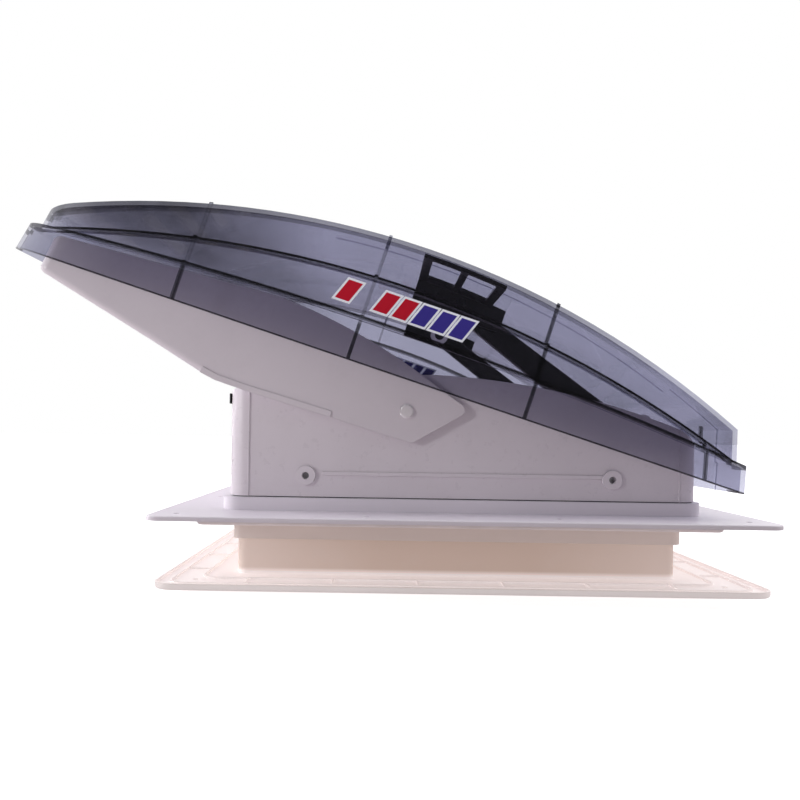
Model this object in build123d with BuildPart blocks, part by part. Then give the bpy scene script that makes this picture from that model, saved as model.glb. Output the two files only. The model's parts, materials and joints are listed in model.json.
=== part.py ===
"""Powered roof vent cover: hinged clear lid, swinging rain shield, base, fan, lift gear and ceiling garnish.

Units are millimetres.  The origin is the centre of the roof opening on the outer roof skin.
+Z points out of the roof, +X points to the hinge end of the lid.  The lid is drawn wide open.
"""
import math
import os

from build123d import *

os.makedirs("parts", exist_ok=True)

# ---------------------------------------------------------------- roof opening and flange
OPENING = 355.6  # nominal square roof opening
SPIGOT_WALL = 2.5
SPIGOT_BOTTOM = -13.0
GASKET_SIZE = 402.0
GASKET_TOP = 6.5
FLANGE_SIZE = 463.0
FLANGE_CORNER = 12.0
FLANGE_TOP = 10.0
PLINTH_SIZE = 368.0
PLINTH_REAR = -186.5
PLINTH_FRONT = 193.0
PLINTH_TOP = 20.3
ROOF_SCREW_FAR = 212.0
ROOF_SCREW_NEAR = 71.0
ROOF_SCREW_HOLE = 2.4
SPIGOT_INNER = OPENING - 2 * SPIGOT_WALL

# ---------------------------------------------------------------- base shell
BASE_SIZE = 362.0
BASE_WALL = 2.6
BASE_CORNER = 15.0
BASE_REAR = -181.5
BASE_FRONT = 189.5
BASE_BOTTOM = 21.0
BASE_INNER = BASE_SIZE - 2 * BASE_WALL
BASE_HALF = BASE_SIZE / 2
BASE_FACE = BASE_INNER / 2
FRONT_FACE = BASE_FRONT - BASE_WALL
REAR_WALL_TOP = 104.0
ARCH_TOP = 118.0
ARCH_TOP_X = -20.0
ARCH_END_X = 172.0
ARCH_END_Z = 78.5
FRONT_WALL_TOP = 61.0
DECK_BOTTOM = 26.0
DECK_TOP = 29.0
THROAT_RADIUS = 155.5
THROAT_WALL = 2.5
THROAT_BOTTOM = -24.0
BOSS_X = 120.0
BOSS_Z = 37.7
BOSS_RADIUS = 7.65
BOSS_HEIGHT = 2.4
BOSS_HOLE = 2.7
TAB_WIDTH = 24.0
TAB_TOP = 48.0

# ---------------------------------------------------------------- lid
LID_TILT = 17.9
LID_REAR_X = -335.4
LID_REAR_Z = 206.3
LID_S0 = -10.2
LID_S1 = 573.3
LID_WIDTH = 416.0
LID_WALL = 2.6
LID_TALL = 115.0
REAR_CORNER = 23.0
FRONT_CORNER = 9.0
FRONT_LEAN = 14.5
RIB_INNER = 191.0
HINGE_X = 176.0
HINGE_Z = 66.0
HINGE_Y = 110.0
PIN_RADIUS = 3.0
FIT = 0.05

# ---------------------------------------------------------------- rain shield
SHIELD_PIVOT_X = -41.9
SHIELD_PIVOT_Z = 88.9
SHIELD_INNER = 184.0
SHIELD_OUTER = 187.0
SHIELD_FLOOR = 3.0

# ---------------------------------------------------------------- lift gear
SHAFT_X = 145.0
SHAFT_Z = 82.0
SHAFT_RADIUS = 4.0
ARM_TIP_X = 5.5
ARM_TIP_Z = 188.0
ARM_IN = 96.0
ARM_OUT = 102.0
WEB_IN = 103.0
WEB_OUT = 105.5
FOOT_OUT = 184.0
FOOT_SKIN = 3.0
MODULE = 2.0
SECTOR_TEETH = 64
PINION_TEETH = 14
GEAR_Y = 20.0
GEAR_WIDTH = 6.0
MESH_ANGLE = 15.0
LIFT_SWING = 21.5

# ---------------------------------------------------------------- fan
FAN_RADIUS = 152.0
FAN_BLADES = 10
HUB_RADIUS = 31.0
HUB_BOTTOM = -15.0
HUB_TOP = 16.0
MOTOR_RADIUS = 44.0
MOTOR_BOTTOM = 33.0
MOTOR_TOP = 66.0
SPIDER_SCREW = 120.0

# ---------------------------------------------------------------- ceiling garnish and screen
GARNISH_SIZE = 454.0
GARNISH_BOTTOM = -44.0
GARNISH_SKIN = -41.0
GARNISH_RIM = -39.0
COLLAR_SIZE = 349.6
COLLAR_TOP = -4.0
SCREEN_SIZE = 334.0
SCREEN_TOP = -36.0
GARNISH_SCREW = 200.0
KNOB_AT = 154.0
KEYPAD_Y = 199.0

COS = math.cos(math.radians(LID_TILT))
SIN = math.sin(math.radians(LID_TILT))
LID = Plane(origin=(LID_REAR_X, 0, LID_REAR_Z), x_dir=(COS, 0, -SIN), z_dir=(SIN, 0, COS))
LID_SIDE = Plane(origin=(LID_REAR_X, 0, LID_REAR_Z), x_dir=(COS, 0, -SIN), z_dir=(0, -1, 0))


def slab(x0, x1, y0, y1, z0, z1, mode=Mode.ADD):
    """Block between two corners."""
    with Locations(((x0 + x1) / 2, (y0 + y1) / 2, (z0 + z1) / 2)):
        Box(x1 - x0, y1 - y0, z1 - z0, mode=mode)


def block(x0, x1, width, corner, z0, z1, mode=Mode.ADD):
    """Prism with rounded corners from x0 to x1, centred across the vent."""
    with BuildSketch(Plane.XY.offset(z0)) as outline:
        with Locations(((x0 + x1) / 2, 0)):
            RectangleRounded(x1 - x0, width, corner)
    extrude(outline.sketch, amount=z1 - z0, mode=mode)


def plate(size, corner, z0, z1, mode=Mode.ADD):
    """Square prism with rounded corners, centred on the opening."""
    block(-size / 2, size / 2, size, corner, z0, z1, mode)


def rod_y(x, z, radius, y0, y1, mode=Mode.ADD):
    """Cylinder lying along Y between y0 and y1."""
    with BuildSketch(Plane.XZ.offset(-y1)) as outline:
        with Locations((x, z)):
            Circle(radius)
    extrude(outline.sketch, amount=y1 - y0, mode=mode)


def rod_z(x, y, radius, z0, z1, mode=Mode.ADD):
    """Cylinder standing along Z between z0 and z1."""
    with BuildSketch(Plane.XY.offset(z0)) as outline:
        with Locations((x, y)):
            Circle(radius)
    extrude(outline.sketch, amount=z1 - z0, mode=mode)


def save(part, name):
    """Label one piece and write it to its own file."""
    part.label = name
    export_step(part, f"parts/{name}.step")


# ================================================================ flange and its seals
with BuildPart() as gasket:
    plate(GASKET_SIZE, 6, 0, GASKET_TOP)
    fillet(gasket.edges().filter_by(GeomType.LINE).filter_by(Plane.XY), 2.4)
    plate(OPENING + 5, 10, -1, GASKET_TOP + 1, Mode.SUBTRACT)
save(gasket.part, "roof_gasket")

ROOF_SCREWS = []
for sx in (-1, 1):
    for sy in (-1, 1):
        ROOF_SCREWS.append((sx * ROOF_SCREW_FAR, sy * ROOF_SCREW_FAR))
        ROOF_SCREWS.append((sx * ROOF_SCREW_FAR, sy * ROOF_SCREW_NEAR))
        ROOF_SCREWS.append((sx * ROOF_SCREW_NEAR, sy * ROOF_SCREW_FAR))

with BuildPart() as flange:
    plate(FLANGE_SIZE, FLANGE_CORNER, GASKET_TOP, FLANGE_TOP)
    fillet(flange.edges().group_by(Axis.Z)[-1], 1.2)
    block(PLINTH_REAR, PLINTH_FRONT, PLINTH_SIZE, 15, FLANGE_TOP, PLINTH_TOP)
    plate(OPENING, 8, SPIGOT_BOTTOM, GASKET_TOP)
    plate(SPIGOT_INNER, 6, SPIGOT_BOTTOM, PLINTH_TOP, Mode.SUBTRACT)
    for x in (-BOSS_X, BOSS_X):
        for side in (-1, 1):
            y_in = side * SPIGOT_INNER / 2
            y_out = side * (BASE_FACE - 0.2)
            y_low = min(y_in, y_out)
            y_high = max(y_in, y_out)
            slab(x - TAB_WIDTH / 2, x + TAB_WIDTH / 2, y_low, y_high, PLINTH_TOP - 6, TAB_TOP)
            rod_y(x, BOSS_Z, 1.6, y_low - 1, y_high + 1, Mode.SUBTRACT)
    for x, y in ROOF_SCREWS:
        rod_z(x, y, ROOF_SCREW_HOLE, GASKET_TOP, FLANGE_TOP, Mode.SUBTRACT)
save(flange.part, "roof_flange")

with BuildPart() as base_seal:
    block(BASE_REAR + 1.2, BASE_FRONT - 1.2, BASE_SIZE - 2.4, 14, PLINTH_TOP, BASE_BOTTOM)
    block(BASE_REAR + BASE_WALL, FRONT_FACE, BASE_INNER, 12, PLINTH_TOP, BASE_BOTTOM, Mode.SUBTRACT)
save(base_seal.part, "base_seal")

# ================================================================ base shell
with BuildPart() as base:
    block(BASE_REAR, BASE_FRONT, BASE_SIZE, BASE_CORNER, BASE_BOTTOM, ARCH_TOP + 5)
    inner_corner = BASE_CORNER - BASE_WALL
    rear_face = BASE_REAR + BASE_WALL
    block(rear_face, FRONT_FACE, BASE_INNER, inner_corner, BASE_BOTTOM, ARCH_TOP + 5, Mode.SUBTRACT)
    for x in (BASE_REAR + 16.4, BASE_FRONT - 16.4):
        for side in (-1, 1):
            face = side * BASE_HALF
            slab(x - 0.6, x + 0.6, face - 0.7, face + 0.7, BASE_BOTTOM, ARCH_TOP)
    with BuildSketch(Plane.XZ):
        with BuildLine():
            ThreePointArc((BASE_REAR - 5, REAR_WALL_TOP - 0.5), (-100, 114.4), (ARCH_TOP_X, ARCH_TOP))
            ThreePointArc((ARCH_TOP_X, ARCH_TOP), (90, 103.5), (ARCH_END_X, ARCH_END_Z))
            ThreePointArc((ARCH_END_X, ARCH_END_Z), (182, 72), (BASE_FRONT + 1, FRONT_WALL_TOP))
            Line((BASE_FRONT + 1, FRONT_WALL_TOP), (BASE_FRONT + 5, FRONT_WALL_TOP))
            Line((BASE_FRONT + 5, FRONT_WALL_TOP), (BASE_FRONT + 5, ARCH_TOP + 20))
            Line((BASE_FRONT + 5, ARCH_TOP + 20), (BASE_REAR - 5, ARCH_TOP + 20))
            Line((BASE_REAR - 5, ARCH_TOP + 20), (BASE_REAR - 5, REAR_WALL_TOP - 0.5))
        make_face()
    extrude(amount=BASE_HALF + 5, both=True, mode=Mode.SUBTRACT)
    block(rear_face, FRONT_FACE, BASE_INNER, inner_corner, DECK_BOTTOM, DECK_TOP)
    rod_z(0, 0, THROAT_RADIUS + THROAT_WALL, THROAT_BOTTOM, DECK_TOP)
    rod_z(0, 0, THROAT_RADIUS, THROAT_BOTTOM, DECK_TOP, Mode.SUBTRACT)
    for side in (-1, 1):
        for x in (-BOSS_X, BOSS_X):
            boss_low = min(side * BASE_HALF, side * (BASE_HALF + BOSS_HEIGHT))
            rod_y(x, BOSS_Z, BOSS_RADIUS, boss_low, boss_low + BOSS_HEIGHT)
            hole_low = min(side * BASE_HALF, side * (BASE_HALF + BOSS_HEIGHT)) - BASE_WALL
            rod_y(x, BOSS_Z, BOSS_HOLE, hole_low, hole_low + BOSS_HEIGHT + 2 * BASE_WALL, Mode.SUBTRACT)
            notch_low = min(side * BASE_FACE, side * (BASE_FACE - 4))
            slab(x - 13, x + 13, notch_low, notch_low + 4, DECK_BOTTOM, DECK_TOP, Mode.SUBTRACT)
        rib_low = min(side * BASE_HALF, side * (BASE_HALF + 1.2))
        slab(-BOSS_X + 13, BOSS_X - 7, rib_low, rib_low + 1.2, BOSS_Z + 0.3, BOSS_Z + 3.3)
        pin_low = min(side * BASE_FACE, side * (BASE_FACE - 5))
        rod_y(SHIELD_PIVOT_X, SHIELD_PIVOT_Z, 7, pin_low, pin_low + 5)
        through = min(side * (BASE_FACE - 6), side * (BASE_HALF + 1))
        rod_y(SHIELD_PIVOT_X, SHIELD_PIVOT_Z, PIN_RADIUS + FIT, through, through + 9.6, Mode.SUBTRACT)
        block_low = min(side * BASE_FACE, side * (BASE_FACE - 9))
        rod_y(SHAFT_X, SHAFT_Z, 7.5, block_low, block_low + 9)
        slab(SHAFT_X - 3, SHAFT_X + 3, block_low, block_low + 9, DECK_TOP, SHAFT_Z - 6)
        rod_y(SHAFT_X, SHAFT_Z, 5.5, block_low, block_low + 9, Mode.SUBTRACT)
        hinge_y = side * HINGE_Y
        slab(HINGE_X - 8, BASE_FRONT + 1, hinge_y - 9, hinge_y + 9, HINGE_Z - 10, ARCH_TOP, Mode.SUBTRACT)
    for x in (-SPIDER_SCREW, SPIDER_SCREW):
        for y in (-SPIDER_SCREW, SPIDER_SCREW):
            rod_z(x, y, 1.6, DECK_BOTTOM, DECK_TOP, Mode.SUBTRACT)
save(base.part, "base_shell")

with BuildPart() as side_screws:
    for side in (-1, 1):
        for x in (-BOSS_X, BOSS_X):
            head_low = min(side * (BASE_FACE - 0.2), side * (BASE_FACE + 1.8))
            rod_y(x, BOSS_Z, BOSS_HOLE - 0.2, head_low, head_low + 2.0)
            shank_low = min(side * (BASE_FACE - 0.2), side * (BASE_FACE - 8.0))
            rod_y(x, BOSS_Z, 1.5, shank_low, shank_low + 7.8)
            drive_low = min(side * (BASE_FACE + 1.8), side * (BASE_FACE + 0.4))
            rod_y(x, BOSS_Z, 1.2, drive_low, drive_low + 1.4, Mode.SUBTRACT)
save(side_screws.part, "side_screws")

with BuildPart() as bumpers:
    for y in (-166, 166):
        slab(BASE_REAR - 1.0, BASE_REAR, y - 6, y + 6, 93.5, 101.5)
save(bumpers.part, "rear_bumpers")


# ================================================================ clear lid
def lid_plan(h, s0, s1, width, inset):
    """Plan of the lid at height h: blunt rear corners, tight front corners."""
    with BuildSketch(LID.offset(h)) as plan:
        with Locations(((s0 + s1) / 2, 0)):
            Rectangle(s1 - s0, width)
        rear = plan.vertices().sort_by(Axis.X)[:2]
        front = plan.vertices().sort_by(Axis.X)[-2:]
        fillet(rear, REAR_CORNER - inset)
        fillet(front, FRONT_CORNER - inset)
    return plan.sketch


def lid_body(inset, floor_h):
    """Solid lid form: proud skirt, side band and crowned top, each drawn inwards by inset."""

    def tier(step, draft, rear_step, rear_lean, start, crown, end):
        plans = []
        for h in (floor_h, LID_TALL):
            s0 = LID_S0 + rear_step + inset + h * math.tan(math.radians(rear_lean))
            s1 = LID_S1 - rear_step / 2 - inset - h * math.tan(math.radians(FRONT_LEAN))
            width = LID_WIDTH - 2 * (step + inset + h * math.tan(math.radians(draft)))
            plans.append(lid_plan(h, s0, s1, width, inset).face())
        with BuildPart() as tier_part:
            loft(sections=plans, ruled=True)
            first, middle, last = [(s, h - inset) for s, h in (start, crown, end)]
            with BuildSketch(LID_SIDE):
                with BuildLine():
                    ThreePointArc(first, middle, last)
                    Line(last, (end[0], -20))
                    Line((end[0], -20), (start[0], -20))
                    Line((start[0], -20), first)
                make_face()
            extrude(amount=LID_WIDTH, both=True, mode=Mode.INTERSECT)
        return tier_part

    skirt = tier(0, 0.4, 0, 12, (-20, 19.5), (295, 34), (590, 18.5))
    band = tier(4, 2.0, 3.5, 8, (-20, 10), (292, 67.5), (590, 11))
    crown = tier(9, 5.0, 4, 8, (-20, 26.5), (288, 102.5), (590, 32))
    with BuildPart() as crown_round:
        add(crown.part)
        fillet(crown_round.faces().sort_by(SortBy.AREA)[-1].edges(), 7)
    with BuildPart() as whole:
        add(skirt.part)
        add(band.part)
        add(crown_round.part)
    return whole.part


lid_outer = lid_body(0, 0)
lid_inner = lid_body(LID_WALL, -1)
lid_proud = lid_body(-1.0, 0)
lid_sticker = lid_body(-0.4, 0)

with BuildPart() as lid_ribs:
    add(lid_proud)
    with BuildSketch(LID_SIDE):
        for s in (121.6, 260.5, 399.7):
            with Locations((s, 55)):
                Rectangle(2.6, 110)
    extrude(amount=LID_WIDTH, both=True, mode=Mode.INTERSECT)
    with BuildSketch(LID.offset(-20)):
        with Locations(((LID_S0 + LID_S1) / 2, 0)):
            Rectangle(LID_S1 - LID_S0, 2 * RIB_INNER)
    extrude(amount=160, mode=Mode.SUBTRACT)
with BuildPart() as lid_end_ribs:
    add(lid_proud)
    with BuildSketch(LID):
        with GridLocations(0, 320, 1, 2):
            with Locations((LID_S1 - 20, 0)):
                Rectangle(80, 2.6)
    extrude(amount=120, mode=Mode.INTERSECT)
with BuildPart() as lid_panel:
    add(lid_proud)
    with BuildSketch(LID):
        with Locations((214 + 150, 0)):
            Rectangle(300, 290)
    extrude(amount=120, mode=Mode.INTERSECT)
with BuildPart() as lid:
    add(lid_outer)
    add(lid_ribs.part)
    add(lid_end_ribs.part)
    add(lid_panel.part)
    add(lid_inner, mode=Mode.SUBTRACT)
save(lid.part, "lid_dome")


# stick-on badge: plain slanted bars, no lettering
def badge(starts):
    """Thin slanted bars lying on both long sides of the lid band."""
    with BuildPart() as bars:
        add(lid_sticker)
        with BuildSketch(LID_SIDE) as slants:
            for start in starts:
                with BuildLine():
                    Polyline((start, 42), (start + 11, 42), (start + 17, 58), (start + 6, 58), close=True)
                make_face()
        extrude(slants.sketch, amount=LID_WIDTH, both=True, mode=Mode.INTERSECT)
        add(lid.part, mode=Mode.SUBTRACT)
        add(lid_inner, mode=Mode.SUBTRACT)
    return bars.part


save(badge((236, 266, 281)), "lid_badge_warm")
save(badge((296, 311, 326)), "lid_badge_cool")

# ================================================================ lid hinge
with BuildPart() as hinge_brackets:
    for side in (-1, 1):
        y = side * HINGE_Y
        slab(FRONT_FACE - 4, FRONT_FACE, y - 14, y + 14, 34, 54)
        for ear in (-6.4, 2.6):
            slab(HINGE_X - 6, FRONT_FACE, y + ear, y + ear + 3.8, 44, HINGE_Z)
            rod_y(HINGE_X, HINGE_Z, 6, y + ear, y + ear + 3.8)
        rod_y(HINGE_X, HINGE_Z, PIN_RADIUS, y - 10, y + 10, Mode.SUBTRACT)
save(hinge_brackets.part, "hinge_brackets")

with BuildPart() as hinge_pins:
    for side in (-1, 1):
        y = side * HINGE_Y
        rod_y(HINGE_X, HINGE_Z, PIN_RADIUS, y - 7.4, y + 7.4)
        rod_y(HINGE_X, HINGE_Z, PIN_RADIUS + 1.6, y - 8.2, y - 6.4)
save(hinge_pins.part, "hinge_pins")

HINGE_S = (HINGE_X - LID_REAR_X) * COS - (HINGE_Z - LID_REAR_Z) * SIN
HINGE_H = (HINGE_X - LID_REAR_X) * SIN + (HINGE_Z - LID_REAR_Z) * COS
with BuildPart() as hinge_leaves:
    for side in (-1, 1):
        with BuildSketch(LID_SIDE.offset(-side * HINGE_Y)) as leaf:
            with Locations((HINGE_S, HINGE_H)):
                Circle(5.6)
            with Locations((HINGE_S + 25, HINGE_H)):
                Rectangle(50, 6.4)
        extrude(leaf.sketch, amount=2.4, both=True)
        with BuildSketch(LID_SIDE.offset(-side * HINGE_Y)) as foot:
            with BuildLine():
                Polyline((LID_S1 - 14, 6), (LID_S1 + 10, 6), (LID_S1 + 10, 36), (LID_S1 - 21.8, 36),
                         close=True)
            make_face()
        extrude(foot.sketch, amount=13, both=True)
        y = side * HINGE_Y
        rod_y(HINGE_X, HINGE_Z, PIN_RADIUS + FIT, y - 4, y + 4, Mode.SUBTRACT)
    add(lid_inner, mode=Mode.INTERSECT)
save(hinge_leaves.part, "hinge_leaves")

# ================================================================ rain shield
SHIELD_BOTTOM = [
    (-332.6, 196.4), (-241.4, 141.1), (-202.7, 116.9), (-190.9, 110.8), (-164.4, 101.9), (-101.2, 83.5)
]
SHIELD_LOW = (-37.3, 64.2)
SHIELD_NOSE = (7.6, 89.9)
with BuildPart() as shield:
    with BuildSketch(Plane.XZ) as outline:
        with BuildLine():
            Polyline(*SHIELD_BOTTOM, SHIELD_LOW, SHIELD_NOSE, (-17.1, 107.4))
            ThreePointArc((-17.1, 107.4), (-79.9, 148.4), (-142.8, 177))
            Line((-142.8, 177), (-310, 220.2))
            ThreePointArc((-310, 220.2), (-319.5, 218.8), (-325.4, 211.8))
            Line((-325.4, 211.8), (-332.6, 196.4))
        make_face()
        nose = outline.vertices().sort_by(Axis.X)[-1]
        low = outline.vertices().sort_by(Axis.Y)[0]
        fillet([nose, low], 5)
    extrude(outline.sketch, amount=SHIELD_OUTER, both=True)
    rear_plane = Plane(origin=(-332.2, 0, 196.4), x_dir=(0.906, 0, -0.4235), z_dir=(0.4235, 0, 0.906))
    with BuildSketch(rear_plane) as plan:
        with Locations((300, 0)):
            RectangleRounded(600, 2 * SHIELD_OUTER, 9)
    extrude(plan.sketch, amount=600, both=True, mode=Mode.INTERSECT)
    floor_edges = shield.edges().filter_by(GeomType.LINE).filter_by_position(Axis.Z, 128, 170)
    fillet(floor_edges.filter_by(Axis.Y, reverse=True), 5)
    with BuildSketch(Plane.XZ) as hollow:
        with BuildLine():
            Line((-190.9, 50), (-190.9, 110.8 + SHIELD_FLOOR + 0.4))
            Line((-190.9, 110.8 + SHIELD_FLOOR + 0.4), (-202, 116.5 + SHIELD_FLOOR + 0.6))
            Line((-202, 116.5 + SHIELD_FLOOR + 0.6), (-240.4, 140.8 + SHIELD_FLOOR + 0.6))
            Line((-240.4, 140.8 + SHIELD_FLOOR + 0.6), (-350, 211.2))
            Line((-350, 211.2), (-350, 245))
            Line((-350, 245), (40, 245))
            Line((40, 245), (40, 50))
            Line((40, 50), (-190.9, 50))
        make_face()
    extrude(hollow.sketch, amount=SHIELD_INNER, both=True, mode=Mode.SUBTRACT)
    with BuildSketch(Plane.XZ) as bead:
        with BuildLine():
            bead_top = [(-100, 88.1), (-163, 106.5), (-189.4, 115.4), (-200.7, 121.5)]
            Polyline(*SHIELD_BOTTOM[2:], *bead_top, close=True)
        make_face()
    extrude(bead.sketch.moved(Location((0, -SHIELD_OUTER, 0))), amount=1)
    extrude(bead.sketch.moved(Location((0, SHIELD_OUTER, 0))), amount=-1)
    for x in (-312, -293, -274, -255, -236, -217):
        for y in (-87, 87):
            slab(x - 5, x + 5, y - 76, y + 76, 100, 212, Mode.SUBTRACT)
    for side in (-1, 1):
        low_y = min(side * SHIELD_INNER, side * SHIELD_OUTER)
        rod_y(SHIELD_PIVOT_X, SHIELD_PIVOT_Z, PIN_RADIUS, low_y - 1, low_y + 4, Mode.SUBTRACT)
save(shield.part, "rain_shield")

with BuildPart() as shield_pins:
    for side in (-1, 1):
        shank = min(side * (BASE_FACE - 4), side * SHIELD_OUTER)
        rod_y(SHIELD_PIVOT_X, SHIELD_PIVOT_Z, PIN_RADIUS, shank, shank + SHIELD_OUTER - BASE_FACE + 4)
        head = min(side * SHIELD_OUTER, side * (SHIELD_OUTER + 2.4))
        rod_y(SHIELD_PIVOT_X, SHIELD_PIVOT_Z, 5.5, head, head + 2.4)
        crown_edge = shield_pins.edges().filter_by(GeomType.CIRCLE).sort_by(Axis.Y)[-1 if side > 0 else 0]
        fillet(crown_edge, 1.9)
save(shield_pins.part, "shield_pins")

# ================================================================ lid lift linkage
TIP_S = (ARM_TIP_X - LID_REAR_X) * COS - (ARM_TIP_Z - LID_REAR_Z) * SIN
TIP_H = (ARM_TIP_X - LID_REAR_X) * SIN + (ARM_TIP_Z - LID_REAR_Z) * COS
SLOT_TURN = math.degrees(math.atan2(HINGE_H - TIP_H, HINGE_S - TIP_S))


lid_under = lid_body(LID_WALL + FOOT_SKIN, -1)


def lift_bracket(side):
    """Slotted web under the lid crown on a windowed foot that follows the crown."""
    web_low = min(side * WEB_IN, side * WEB_OUT)
    with BuildPart() as bracket:
        with BuildSketch(LID_SIDE.offset(-web_low - 2.5)) as web:
            with Locations((TIP_S + 1, 97)):
                Rectangle(83, 44)
            with Locations(Location((TIP_S, TIP_H), SLOT_TURN)):
                SlotCenterToCenter(1.6, 8.5, mode=Mode.SUBTRACT)
        extrude(web.sketch, amount=2.5)
        with BuildSketch(LID) as foot:
            with Locations((TIP_S - 6, side * (WEB_IN + FOOT_OUT) / 2)):
                Rectangle(69, FOOT_OUT - WEB_IN)
            for along in (-21, 9):
                with Locations((TIP_S + along, side * 150)):
                    RectangleRounded(24, 60, 2, mode=Mode.SUBTRACT)
        with BuildPart(mode=Mode.PRIVATE) as foot_plate:
            extrude(foot.sketch, amount=LID_TALL)
            add(lid_under, mode=Mode.SUBTRACT)
        add(foot_plate.part)
        add(lid_inner, mode=Mode.INTERSECT)
    return bracket.part


save(lift_bracket(-1), "lift_bracket_near")
save(lift_bracket(1), "lift_bracket_far")


def lift_arm(y0, y1):
    """Flat arm from the lift shaft to the lid pin."""
    with BuildPart() as arm:
        with BuildSketch(Plane.XZ.offset(-y1)) as shape:
            with Locations((SHAFT_X, SHAFT_Z)):
                Circle(12)
            with Locations((ARM_TIP_X, ARM_TIP_Z)):
                Circle(9)
            make_hull()
        extrude(shape.sketch, amount=y1 - y0)
        fillet(arm.edges().group_by(Axis.Y)[0], 1)
        rod_y(SHAFT_X, SHAFT_Z, SHAFT_RADIUS, y0, y1, Mode.SUBTRACT)
        rod_y(ARM_TIP_X, ARM_TIP_Z, SHAFT_RADIUS, y0, y1, Mode.SUBTRACT)
    return arm.part


save(lift_arm(-ARM_OUT, -ARM_IN), "lift_arm_near")
save(lift_arm(ARM_IN, ARM_OUT), "lift_arm_far")

with BuildPart() as lift_pins:
    for side in (-1, 1):
        shank = min(side * (ARM_IN - 1), side * (WEB_OUT + 1.5))
        rod_y(ARM_TIP_X, ARM_TIP_Z, SHAFT_RADIUS, shank, shank + WEB_OUT + 2.5 - ARM_IN)
        inner_head = min(side * (ARM_IN - 3), side * (ARM_IN - 1))
        rod_y(ARM_TIP_X, ARM_TIP_Z, 5.4, inner_head, inner_head + 2)
        outer_head = min(side * (WEB_OUT + 0.5), side * (WEB_OUT + 2.3))
        rod_y(ARM_TIP_X, ARM_TIP_Z, 6, outer_head, outer_head + 1.8)
save(lift_pins.part, "lift_pins")

with BuildPart() as pin_bushes:
    for side in (-1, 1):
        ring = min(side * (ARM_IN - 4), side * ARM_IN)
        rod_y(ARM_TIP_X, ARM_TIP_Z, 10.3, ring, ring + 4)
        rim_edges = pin_bushes.edges().filter_by(GeomType.CIRCLE).sort_by(Axis.Y)
        fillet(rim_edges[0] if side > 0 else rim_edges[-1], 1)
    for side in (-1, 1):
        recess = min(side * (ARM_IN - 4.5), side * (ARM_IN - 1))
        rod_y(ARM_TIP_X, ARM_TIP_Z, 5.4, recess, recess + 3.5, Mode.SUBTRACT)
        bore = min(side * (ARM_IN - 1), side * ARM_IN)
        rod_y(ARM_TIP_X, ARM_TIP_Z, SHAFT_RADIUS, bore, bore + 1, Mode.SUBTRACT)
save(pin_bushes.part, "pin_bushes")

with BuildPart() as lift_shaft:
    rod_y(SHAFT_X, SHAFT_Z, SHAFT_RADIUS, -BASE_FACE + 0.5, BASE_FACE - 0.5)
save(lift_shaft.part, "lift_shaft")

with BuildPart() as shaft_bushes:
    for side in (-1, 1):
        sleeve = min(side * (BASE_FACE - 9), side * BASE_FACE)
        rod_y(SHAFT_X, SHAFT_Z, 5.5, sleeve, sleeve + 9)
        collar = min(side * (BASE_FACE - 11.5), side * (BASE_FACE - 9))
        rod_y(SHAFT_X, SHAFT_Z, 7.5, collar, collar + 2.5)
        bore_low = min(sleeve, collar) - 1
        bore_high = max(sleeve, collar) + 10
        rod_y(SHAFT_X, SHAFT_Z, SHAFT_RADIUS + FIT, bore_low, bore_high, Mode.SUBTRACT)
save(shaft_bushes.part, "shaft_bushes")


def gear_outline(x, z, teeth, phase, first, last):
    """Straight-flanked spur teeth about (x, z), tooth zero centred on phase degrees."""
    pitch_radius = MODULE * teeth / 2
    half_pitch = math.radians(90 / teeth)
    points = []
    for index in range(first, last + 1):
        centre = math.radians(phase + 360 * index / teeth)
        for spread, reach in ((-1.30, -1.2), (-0.42, 0.8), (0.42, 0.8), (1.30, -1.2)):
            angle = centre + spread * half_pitch
            radius = pitch_radius + reach * MODULE
            points.append((x + radius * math.cos(angle), z + radius * math.sin(angle)))
    return points


with BuildPart() as sector_gear:
    with BuildSketch(Plane.XZ.offset(-GEAR_Y - GEAR_WIDTH)) as sector:
        with BuildLine():
            step = 360 / SECTOR_TEETH
            lead = math.ceil((LIFT_SWING + 6) / step)
            teeth = gear_outline(SHAFT_X, SHAFT_Z, SECTOR_TEETH, 180 + MESH_ANGLE + step / 2, -lead, 1)
            heel = [(SHAFT_X, SHAFT_Z - 6), (SHAFT_X + 6, SHAFT_Z), (SHAFT_X, SHAFT_Z + 6)]
            Polyline(*teeth, *heel, close=True)
        make_face()
        with Locations((SHAFT_X, SHAFT_Z)):
            Circle(11)
            Circle(SHAFT_RADIUS, mode=Mode.SUBTRACT)
    extrude(sector.sketch, amount=GEAR_WIDTH)
save(sector_gear.part, "sector_gear")

GEAR_CENTRES = MODULE * (SECTOR_TEETH + PINION_TEETH) / 2 + 0.15
PINION_X = SHAFT_X - GEAR_CENTRES * math.cos(math.radians(MESH_ANGLE))
PINION_Z = SHAFT_Z - GEAR_CENTRES * math.sin(math.radians(MESH_ANGLE))
with BuildPart() as drive_pinion:
    with BuildSketch(Plane.XZ.offset(-GEAR_Y - GEAR_WIDTH - 1)) as pinion:
        with BuildLine():
            pinion_teeth = gear_outline(PINION_X, PINION_Z, PINION_TEETH, MESH_ANGLE, 0, PINION_TEETH - 1)
            Polyline(*pinion_teeth, close=True)
        make_face()
    extrude(pinion.sketch, amount=GEAR_WIDTH + 2)
    rod_y(PINION_X, PINION_Z, PIN_RADIUS, GEAR_Y + GEAR_WIDTH + 1, 36)
save(drive_pinion.part, "drive_pinion")

with BuildPart() as lift_motor:
    rod_y(PINION_X, PINION_Z, 15, 30, 70)
    slab(PINION_X - 10, PINION_X + 10, 30, 43, DECK_TOP, PINION_Z - 5)
    rod_y(PINION_X, PINION_Z, PIN_RADIUS + FIT, 30, 36.5, Mode.SUBTRACT)
save(lift_motor.part, "lift_motor")

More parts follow.
